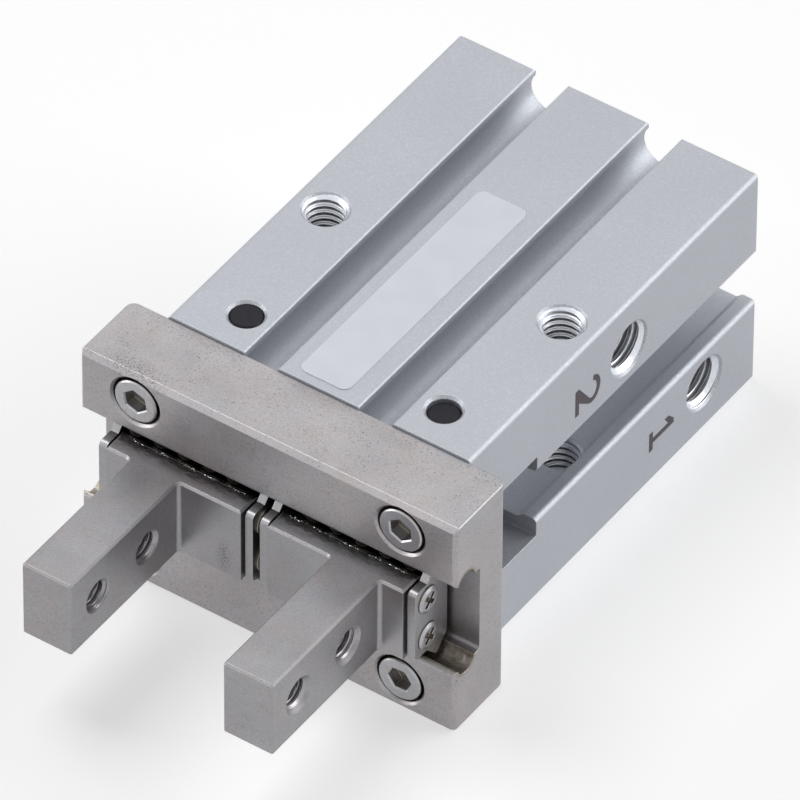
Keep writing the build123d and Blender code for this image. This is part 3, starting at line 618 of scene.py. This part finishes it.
class GRIPPER_OT_close_lip_grooves(bpy.types.Operator):
    """Body whose slot lips run straight into the flanks"""

    bl_idname = "gripper.close_lip_grooves"
    bl_label = "Slot Lips"

    def execute(self, context):
        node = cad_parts["body"]
        vertices, faces, normals = without_lip_grooves(*triangles(node.data))
        alloy = node.material_slots[0].material
        piece = new_piece("body_shell", vertices, faces, alloy, "housing", "anodised_alloy")
        piece.data.normals_split_custom_set(normals.reshape(-1, 3))
        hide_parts("body")
        return {"FINISHED"}


def triangles(mesh):
    """A mesh of triangles as arrays: vertices, each face's three corners, and the normals at the corners."""
    places = np.empty((len(mesh.vertices), 3), np.float32)
    corners = np.empty((len(mesh.polygons), 3), np.int32)
    normals = np.empty((len(mesh.polygons), 3, 3), np.float32)
    mesh.vertices.foreach_get("co", places.ravel())
    mesh.loops.foreach_get("vertex_index", corners.ravel())
    mesh.corner_normals.foreach_get("vector", normals.ravel())
    return places, corners, normals


def without_lip_grooves(places, corners, normals):
    """The body's triangles with the thin grooves closed where the side slots' lips meet the flanks.

    In the solid each lip's arc runs past the flank's plane, inwards to a flat step. Here every vertex of the arc past
    that plane moves to the step's outer corner at its end of the slot, so the arc's faces shrink to one flat strip in
    the flank's plane. Faces left with two equal corners, and pairs that lie back to back, are dropped."""
    flank, groove, tangent, step, chamfer = (size * MM for size in (HALF_WIDTH, 0.51, 3.25, 3.75, 0.15))
    x, y, z = places.T
    tiny = 0.0001 * MM
    moved = (abs(x) > flank - groove) & (abs(z) > tangent + tiny) & (abs(z) < step + tiny)
    rear = y > -tiny
    corner_x = np.sign(x) * np.where(rear, flank - chamfer, flank)
    corner_y = np.where(rear, 0, np.where(y > -MM, -chamfer, y))
    target = np.stack([corner_x, corner_y, np.sign(z) * step], axis=1)
    closed = np.where(moved[:, None], target, places).round(7)
    distinct, index = np.unique(closed, axis=0, return_inverse=True)
    faces = index.ravel()[corners]
    ordered = np.sort(faces, axis=1)
    _, which, times = np.unique(ordered, axis=0, return_inverse=True, return_counts=True)
    kept = (np.diff(ordered, axis=1) > 0).all(axis=1) & (times[which.ravel()] == 1)
    faces, normals, touched = faces[kept], normals[kept].copy(), moved[corners[kept]].any(axis=1)
    first, second, third = distinct[faces[touched].T]
    flat = np.cross(second - first, third - first)
    normals[touched] = (flat / np.linalg.norm(flat, axis=1, keepdims=True))[:, None, :]
    used, faces = np.unique(faces, return_inverse=True)
    return distinct[used], faces.reshape(-1, 3), normals


class GRIPPER_OT_finish_guide(bpy.types.Operator):
    """Ground and slightly stained steel on the guide rail"""

    bl_idname = "gripper.finish_guide"
    bl_label = "Guide Finish"

    def execute(self, context):
        settings = context.scene.gripper_finish
        stains = (
            ((-14.0, -49.3, 11.3), (4.2, 1.6, 1.5), 0.9),
            ((-10.0, -43.4, 11.3), (5.0, 0.8, 1.0), 0.45),
            ((2.0, -43.3, 11.3), (6.0, 0.7, 1.0), 0.35),
            ((10.0, -44.0, 11.3), (6.0, 1.2, 1.0), 0.25),
            ((3.0, -47.5, 11.3), (6.0, 2.0, 1.0), 0.18),
        )
        steel = ground_metal("Guide steel", settings.guide_colour, 0.43, settings, specks=0.26, stains=stains,
                             patch_spread=0.07, film=(1.6, settings.oil_and_recess_shade_colour))
        dress(steel, "guide")
        return {"FINISHED"}


class GRIPPER_OT_finish_jaws(bpy.types.Operator):
    """Ground steel on the jaws and pressed steel on their stop plates"""

    bl_idname = "gripper.finish_jaws"
    bl_label = "Jaw Finish"

    def execute(self, context):
        settings = context.scene.gripper_finish
        stains = (
            ((-3.1, -52.0, -2.0), (0.9, 0.4, 2.2), 0.9),
            ((10.5, -62.0, 4.0), (2.4, 3.0, 0.5), 0.12),
        )
        # Jaw steel: painted shade with grease beside the gaps under the guide's lips, and painted shade on the bevels.
        steel = ground_metal("Jaw steel", settings.jaw_colour, 0.36, settings, stretch=(7000.0, 90.0, 7000.0),
                             specks=0.2, stains=stains, patch_spread=0.08, edge=(0.48, 0.455, 0.42), edge_width=0.5,
                             mottle=0.6, film=(3.4, settings.grease_and_shade_colour), shaded_bevels=True)
        dress(steel, "jaw_right", "jaw_left")
        # The plates get painted shade in their hollows round the screws.
        sheet = ground_metal("Plate steel", settings.plate_colour, 0.4, settings, stretch=(3000.0, 900.0, 900.0),
                             specks=0.18, stains=(((0, -50.7, 4.9), (30.0, 1.2, 1.1), 0.8),), patch_spread=0.1,
                             edge=(0.50, 0.485, 0.46), edge_width=0.45, recess_shade=0.55)
        dress(sheet, *(f"stop_plate_{place}" for place in PLATES))
        return {"FINISHED"}


class GRIPPER_OT_finish_screws(bpy.types.Operator):
    """Plated steel on the guide's socket screws and the plates' cross-recess screws"""

    bl_idname = "gripper.finish_screws"
    bl_label = "Screw Finish"

    def execute(self, context):
        settings = context.scene.gripper_finish
        # Painted shade in the screws' sockets and hollows.
        steel = ground_metal("Screw steel", settings.screw_colour, 0.34, settings, stretch=(2500.0, 300.0, 2500.0),
                             patch_spread=0.1, edge=(0.85, 0.82, 0.78), mottle=0.4, recess_shade=0.8)
        dress(steel, "guide_screws", "rod_pin", *(f"plate_screws_{place}" for place in PLATES))
        return {"FINISHED"}


class GRIPPER_OT_finish_inner_pieces(bpy.types.Operator):
    """Balls, levers, piston, seals and the rear end's pieces"""

    bl_idname = "gripper.finish_inner_pieces"
    bl_label = "Inner Pieces"

    def execute(self, context):
        settings = context.scene.gripper_finish
        # The balls are painted near black: grease and painted shade in the gap.
        balls = smooth_material("Greased balls", settings.shaded_ball_colour, 0.12, metallic=1.0, coat=0.5)
        dress(balls, *(f"balls_{level}_{side}" for level in ("upper", "lower") for side in JAWS))
        levers = ground_metal("Lever steel", settings.lever_colour, 0.4, settings, specks=0.2)
        dress(levers, "lever_right", "lever_left")
        turned = ground_metal("Turned alloy", (0.5, 0.51, 0.53), 0.32, settings, stretch=(900.0, 9000.0, 900.0),
                              edge=(0.8, 0.81, 0.83))
        dress(turned, "piston", "seal_support")
        spring = ground_metal("Spring steel", (0.05, 0.05, 0.055), 0.4, settings, edge=(0.2, 0.2, 0.21))
        dress(spring, "retaining_ring")
        dress(smooth_material("Nitrile rubber", (0.018, 0.018, 0.018), 0.6), "piston_seal", "cap_gasket", "rod_seal")
        dress(smooth_material("Bumper rubber", (0.10, 0.055, 0.02), 0.5), "front_bumper", "rear_bumper")
        dress(smooth_material("Magnet rubber", (0.03, 0.028, 0.028), 0.7), "magnet")
        return {"FINISHED"}


class GRIPPER_OT_finish_label(bpy.types.Operator):
    """Silver film on the blank label"""

    bl_idname = "gripper.finish_label"
    bl_label = "Label Finish"

    def execute(self, context):
        settings = context.scene.gripper_finish
        film = smooth_material("Label film", settings.label_colour, 0.38, 0.6, spread=0.02, size=2.0, coat=0.15)
        dress(film, "label")
        return {"FINISHED"}


class GRIPPER_OT_cut_threads(bpy.types.Operator):
    """Thread ridges in the body's holes, the air ports and the jaws"""

    bl_idname = "gripper.cut_threads"
    bl_label = "Threads"

    def execute(self, context):
        settings = context.scene.gripper_threads
        finish = context.scene.gripper_finish
        base = finish.body_colour
        cut = {"depth": 0.012, "edge_width": 0.4, "stretch": (9000.0, 9000.0, 9000.0)}
        # Painted shade between the thread ridges of both cut alloys.
        alloy = ground_metal("Cut alloy", shade(base, 1.45), 0.36, finish, edge=shade(base, 1.8), mottle=0.2,
                             recess_shade=0.4, **cut)
        port_alloy = ground_metal("Cut port", shade(base, 1.5), 0.3, finish, edge=shade(base, 1.9), recess_shade=0.6, **cut)
        steel = ground_metal("Cut steel", finish.jaw_colour, 0.3, finish, edge=(0.6, 0.56, 0.52), edge_width=0.3)

        def shell(kind, mouth, inward, span, chamfers, turn, **form):
            mouth, span = (tuple(part * MM for part in given) for given in (mouth, span))
            radius, pitch = getattr(settings, f"{kind}_diameter") / 2, getattr(settings, f"{kind}_pitch")
            return thread_shell(mouth, inward, radius, pitch, span, chamfers, turn, **form)

        form = {"crest": 0.46, "root": 0.16, "cleft": 0.45}
        turns = {(-1, 1): 0.93, (1, 1): 0.08, (1, -1): 0.4, (-1, -1): 0.6}
        shells = [shell("body", (side * BODY_HOLE[0], BODY_HOLE[1], level * HALF_HEIGHT), (0, 0, -level), (0.2, 8.5),
                        (True, True), turn, **form) for (side, level), turn in turns.items()]
        shells += [shell("body", (side * REAR_HOLE[0], 0, side * REAR_HOLE[1]), (0, -1, 0), (0.2, 6.5), (True, False),
                         0.0, **form) for side in (-1, 1)]
        new_piece("body_threads", *joined(shells), alloy, "housing", "anodised_alloy")
        shells = [shell("port", (HALF_WIDTH, *port), (-1, 0, 0), (0.2, 5), (True, False), turn, steps=20, around=72)
                  for port, turn in zip(PORTS, (0.0, 0.75))]
        new_piece("port_threads", *joined(shells), port_alloy, "housing", "anodised_alloy")
        for (name, side), turns in zip(JAWS.items(), ((0.55, 0.95), (0.5, 0.2))):
            shells = [shell("jaw", (side * JAW_SIDE, y, 0), (-side, 0, 0), (0.32, 4.83), (True, True), turn, around=60)
                      for y, turn in zip(JAW_HOLES, turns)]
            new_piece(f"jaw_threads_{name}", *joined(shells), steel, f"jaw_{name}", "jaw_steel")
        return {"FINISHED"}


class GRIPPER_OT_smear_grease(bpy.types.Operator):
    """Beads and flecks of grease where the jaws' carriages slide under the guide's lips"""

    bl_idname = "gripper.smear_grease"
    bl_label = "Grease"

    def execute(self, context):
        settings = context.scene.gripper_finish
        grease = smooth_material("Grease", settings.grease_colour, 0.12, spread=0.5, size=0.4, coat=0.6)
        flecks = smooth_material("Bright flecks", (0.84, 0.83, 0.80), 0.15, metallic=1.0, spread=0.15, size=0.2)
        draw = np.random.default_rng(7)
        for name, side in JAWS.items():
            beads, pale = [], []
            for face in (-1, 1):
                beads.append(grease_bead(side, face, draw))
                for piece, count, largest in ((beads, 24, 0.17), (pale, 40, 0.075)):
                    balls = FIRST_BALL + BALL_PITCH * draw.integers(0, BALLS, count)
                    x = side * np.clip(balls + draw.normal(0, 0.4, count), *CARRIAGE_ENDS)
                    y = draw.uniform(-50.06, -49.9, count)
                    z = face * draw.uniform(CARRIAGE_TOP - 0.01, CARRIAGE_TOP + 0.05, count)
                    size = largest * draw.uniform(0.4, 1.0, (count, 1))
                    size = size * draw.uniform((0.8, 0.5, 0.5), (2.2, 1, 1), (count, 3))
                    piece.append(blobs(np.stack([x, y, z], axis=1) * MM, size * MM))
            new_piece(f"grease_{name}", *joined(beads), grease, f"jaw_{name}", "seal_rubber")
            new_piece(f"flecks_{name}", *joined(pale), flecks, f"jaw_{name}", "jaw_steel")
        return {"FINISHED"}


def blobs(centres, sizes, around=10, rings=6):
    """Small closed drops: each is a ball whose three half sizes are given, from a grid of turn and height with one
    shared point at each pole."""
    turn = np.linspace(0, 2 * np.pi, around, endpoint=False)
    rise = np.linspace(-np.pi / 2, np.pi / 2, rings + 1)[1:-1]
    grid = np.stack(np.broadcast_arrays(np.cos(rise)[:, None] * np.cos(turn), np.cos(rise)[:, None] * np.sin(turn),
                                        np.sin(rise)[:, None]), axis=-1).reshape(-1, 3)
    unit = np.concatenate([grid, [(0, 0, -1), (0, 0, 1)]])
    here, quads = ring_quads(rings - 1, around)
    after = np.roll(here, -1, axis=1)
    pole = np.full(around, len(grid))
    caps = np.concatenate([np.stack([pole, after[0], here[0]], 1), np.stack([pole + 1, here[-1], after[-1]], 1)])
    first = np.arange(len(centres))[:, None, None] * len(unit)
    vertices = (centres[:, None, :] + unit[None] * sizes[:, None, :]).reshape(-1, 3)
    return vertices, (quads[None] + first).reshape(-1, 4), (caps[None] + first).reshape(-1, 3)


def grease_bead(side, face, draw, along=90, around=8):
    """A thin uneven bead along the carriage's edge under the guide's lip: a round profile whose radius wanders between
    0.025 and 0.055 mm, carried along a line that wanders by less, and drawn in to little at both ends."""
    share = np.linspace(0, 1, along)
    inner, outer = CARRIAGE_ENDS
    waves = sum(draw.uniform(0.2, 1) * np.sin(2 * np.pi * (share * count + draw.uniform())) for count in (2, 3, 5, 9))
    radius = (0.04 + 0.015 * np.tanh(waves)) * np.sqrt(np.sin(np.pi * np.clip(share, 0.004, 0.996)))
    middle = np.stack([side * (inner + (outer - inner) * share), -49.98 + 0.03 * np.sin(9 * share + 4 * side),
                       np.full(along, face * CARRIAGE_TOP)], axis=1)
    turn = np.linspace(0, 2 * np.pi, around, endpoint=False)
    ring = np.stack([np.zeros(around), np.cos(turn), np.sin(turn)], axis=1)
    points = (middle[:, None, :] + radius[:, None, None] * ring[None]) * MM
    here, quads = ring_quads(along, around)
    ends = np.stack([here[0][::-1], here[-1]])
    order = slice(None, None, side)
    return points.reshape(-1, 3), quads[:, order], ends[:, order]


class GRIPPER_OT_mark_ports(bpy.types.Operator):
    """Plain printed numbers beside the two air ports"""

    bl_idname = "gripper.mark_ports"
    bl_label = "Port Numbers"

    def execute(self, context):
        settings = context.scene.gripper_marks
        ink = smooth_material("Printing ink", settings.ink_colour, 0.6, spread=0.15, size=0.3, gloss=0.2)
        sizes = (settings.width, settings.height, settings.stroke)
        for text, outline, y, z in (("2", figure_two(*sizes), -25.4, 6.1), ("1", figure_one(*sizes), -14.1, -7.0)):
            vertices, faces = slab(outline, settings.ink)
            turned = np.stack([vertices[:, 2], vertices[:, 1], -vertices[:, 0]], axis=1)
            turned += np.array((HALF_WIDTH, y, z)) * MM
            piece = new_piece(f"port_number_{text}", turned, faces, ink, "housing", "shaft_steel")
            piece.data.shade_flat()
        return {"FINISHED"}


def figure_two(width, height, stroke):
    """Outline of a 2: an arc's outer edge, the slanting stroke's lower edge, the foot, the slanting stroke's upper
    edge and the arc's inner edge back to the start."""
    half, middle = width / 2, height * 0.176
    turn = np.radians(np.linspace(172, -38, 22))
    arc = np.stack([np.cos(turn), np.sin(turn)], axis=1)
    outer = arc * (half, height / 2 - middle) + (0, middle)
    inner = arc * (half - stroke, height / 2 - middle - stroke) + (0, middle)
    foot = -height / 2 + stroke
    slant = (outer[-1] - inner[-1]) @ np.array([[0, 1], [-1, 0]])
    inside = outer[-1, 0] + (foot - outer[-1, 1]) / slant[1] * slant[0]
    corners = [(inside, foot), (half, foot), (half, -height / 2), (-half, -height / 2), (-half, foot)]
    return np.concatenate([outer, corners, inner[::-1]])


def figure_one(width, height, stroke):
    """Outline of a 1: a stem with a slanting flag at its top left and a foot across its bottom."""
    half, top, foot = width / 2, height / 2, -height / 2 + stroke
    left, right = -0.3 * stroke, 0.7 * stroke
    return np.array([
        (right, top), (right, foot), (0.8 * half, foot), (0.8 * half, -top), (-0.65 * half, -top), (-0.65 * half, foot),
        (left, foot), (left, top - 1.6 * stroke), (-0.65 * half, top - 2.5 * stroke),
        (-0.65 * half, top - 1.4 * stroke), (left + 0.1 * stroke, top),
    ])


def slab(outline, proud):
    """A thin slab from a flat outline: the outline above and below the plane, joined by one band of sides."""
    x, y = outline.T
    if (x * np.roll(y, -1) - np.roll(x, -1) * y).sum() < 0:
        outline = outline[::-1]
    count = len(outline)
    vertices = np.concatenate([np.c_[outline, np.full(count, proud)], np.c_[outline, np.full(count, -proud)]])
    here, after = np.arange(count), np.roll(np.arange(count), -1)
    sides = np.stack([here, here + count, after + count, after], axis=1)
    return vertices, [here.tolist(), (here[::-1] + count).tolist(), *sides.tolist()]


class GRIPPER_OT_build_stage(bpy.types.Operator):
    """Floor, lamps, surroundings and camera"""

    bl_idname = "gripper.build_stage"
    bl_label = "Stage"

    def execute(self, context):
        settings = context.scene.gripper_stage
        build_floor(settings)
        build_lamps(settings)
        build_room(context, settings)
        build_camera(context, settings)
        context.scene.view_settings.view_transform = "Standard"
        return {"FINISHED"}


def seen_rays(tree):
    """1 for a ray from the camera, from a glossy surface or through glass, 0 for light that falls on something."""
    path = tree.nodes.new("ShaderNodeLightPath").outputs
    most = math_node(tree, "MAXIMUM", path["Is Camera Ray"], path["Is Glossy Ray"])
    return math_node(tree, "MAXIMUM", most, path["Is Transmission Ray"])


def build_floor(settings):
    """Pale paper just under the gripper, which keeps its shadow, looks near white, and is plain white far off."""
    half, level = 2.5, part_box("body")[0][2] - 0.05 * MM
    mesh = bpy.data.meshes.new("floor")
    mesh.from_pydata([(-half, -half, level), (half, -half, level), (half, half, level), (-half, half, level)], [],
                     [(0, 1, 2, 3)])
    material = bpy.data.materials.new("Paper")
    tree = emptied(material)
    place = tree.nodes.new("ShaderNodeTexCoord").outputs["Object"]
    tone = cloudy(tree, noise(tree, place, 40 * MM), settings.floor_colour, 0.005)
    paper = add_node(tree, "ShaderNodeBsdfDiffuse", Color=tone).outputs[0]
    seen = seen_rays(tree)
    glow, far = (add_node(tree, "ShaderNodeEmission", Color=(1, 1, 1), Strength=strength).outputs[0]
                 for strength in (multiply(tree, seen, settings.floor_lift), 1.0))
    near = add_node(tree, "ShaderNodeAddShader", s0=paper, s1=glow).outputs[0]
    away = remap(tree, vector_node(tree, "LENGTH", place, output=1), 0.15, 0.5)
    both = add_node(tree, "ShaderNodeMixShader", s0=multiply(tree, seen, away), s1=near, s2=far)
    add_node(tree, "ShaderNodeOutputMaterial", Surface=both.outputs[0])
    mesh.materials.append(material)
    floor = add_object("floor", mesh)


def build_lamps(settings):
    """Three lamps that face the gripper."""
    lamps = (
        ("edge_lamp", settings.edge_power, 0.35, (-0.29, -0.04, 0.63)),
        ("side_lamp", settings.side_power, 0.75, (0.55, 0.46, 0.34)),
        ("left_lamp", settings.left_power, 0.40, (-0.66, -0.40, 0.12)),
    )
    for name, watts, size, place in lamps:
        light = bpy.data.lights.new(name, "AREA")
        light.energy, light.shape, light.size = watts, "SQUARE", size
        lamp = add_object(name, light)
        lamp.location = place
        lamp.rotation_euler = Vector(place).to_track_quat("Z", "Y").to_euler()


def build_room(context, settings):
    """Even light from all round, seen as white by the camera and in reflections."""
    context.scene.world = bpy.data.worlds.new("room")
    tree = emptied(context.scene.world)
    dim, white = (add_node(tree, "ShaderNodeBackground", Color=(1, 1, 1), Strength=strength).outputs[0]
                  for strength in (settings.room_light, 1.0))
    both = add_node(tree, "ShaderNodeMixShader", s0=seen_rays(tree), s1=dim, s2=white).outputs[0]
    add_node(tree, "ShaderNodeOutputWorld", Surface=both)


def build_camera(context, settings):
    """Camera at the given angles and distance from its target, turned about its own axis by the roll."""
    lens = bpy.data.cameras.new("camera")
    lens.lens, lens.sensor_width = settings.lens, 36
    lens.clip_start, lens.clip_end = 0.01, 20
    camera = add_object("camera", lens)
    place = Matrix.Translation((0, settings.target_y, settings.target_z)) @ Matrix.Rotation(settings.azimuth, 4, "Z")
    place @= Matrix.Rotation(math.pi / 2 - settings.elevation, 4, "X") @ Matrix.Rotation(-settings.roll, 4, "Z")
    camera.matrix_world = place @ Matrix.Translation((0, 0, settings.distance))
    context.scene.camera = camera


OPERATORS = (
    GRIPPER_OT_finish_body,
    GRIPPER_OT_close_lip_grooves,
    GRIPPER_OT_finish_guide,
    GRIPPER_OT_finish_jaws,
    GRIPPER_OT_finish_screws,
    GRIPPER_OT_finish_inner_pieces,
    GRIPPER_OT_finish_label,
    GRIPPER_OT_cut_threads,
    GRIPPER_OT_smear_grease,
    GRIPPER_OT_mark_ports,
    GRIPPER_OT_build_stage,
)

SETTINGS = {
    "gripper_finish": GripperFinishSettings,
    "gripper_threads": GripperThreadSettings,
    "gripper_marks": GripperMarkSettings,
    "gripper_stage": GripperStageSettings,
}


class GRIPPER_PT_dressing(bpy.types.Panel):
    """Buttons for each step of the dressing"""

    bl_idname = "GRIPPER_PT_dressing"
    bl_label = "Parallel Gripper"
    bl_space_type = "VIEW_3D"
    bl_region_type = "UI"
    bl_category = "Gripper"

    def draw(self, context):
        for step in OPERATORS:
            self.layout.operator(step.bl_idname)


def register():
    for name, group in SETTINGS.items():
        bpy.utils.register_class(group)
        setattr(bpy.types.Scene, name, PointerProperty(type=group))
    for step in (*OPERATORS, GRIPPER_PT_dressing):
        bpy.utils.register_class(step)


def unregister():
    for step in reversed((*OPERATORS, GRIPPER_PT_dressing)):
        bpy.utils.unregister_class(step)
    for name, group in reversed(SETTINGS.items()):
        delattr(bpy.types.Scene, name)
        bpy.utils.unregister_class(group)


def main():
    """Runs every step in order."""
    register()
    for step in OPERATORS:
        family, action = step.bl_idname.split(".")
        getattr(getattr(bpy.ops, family), action)()


if __name__ == "__main__":
    main()
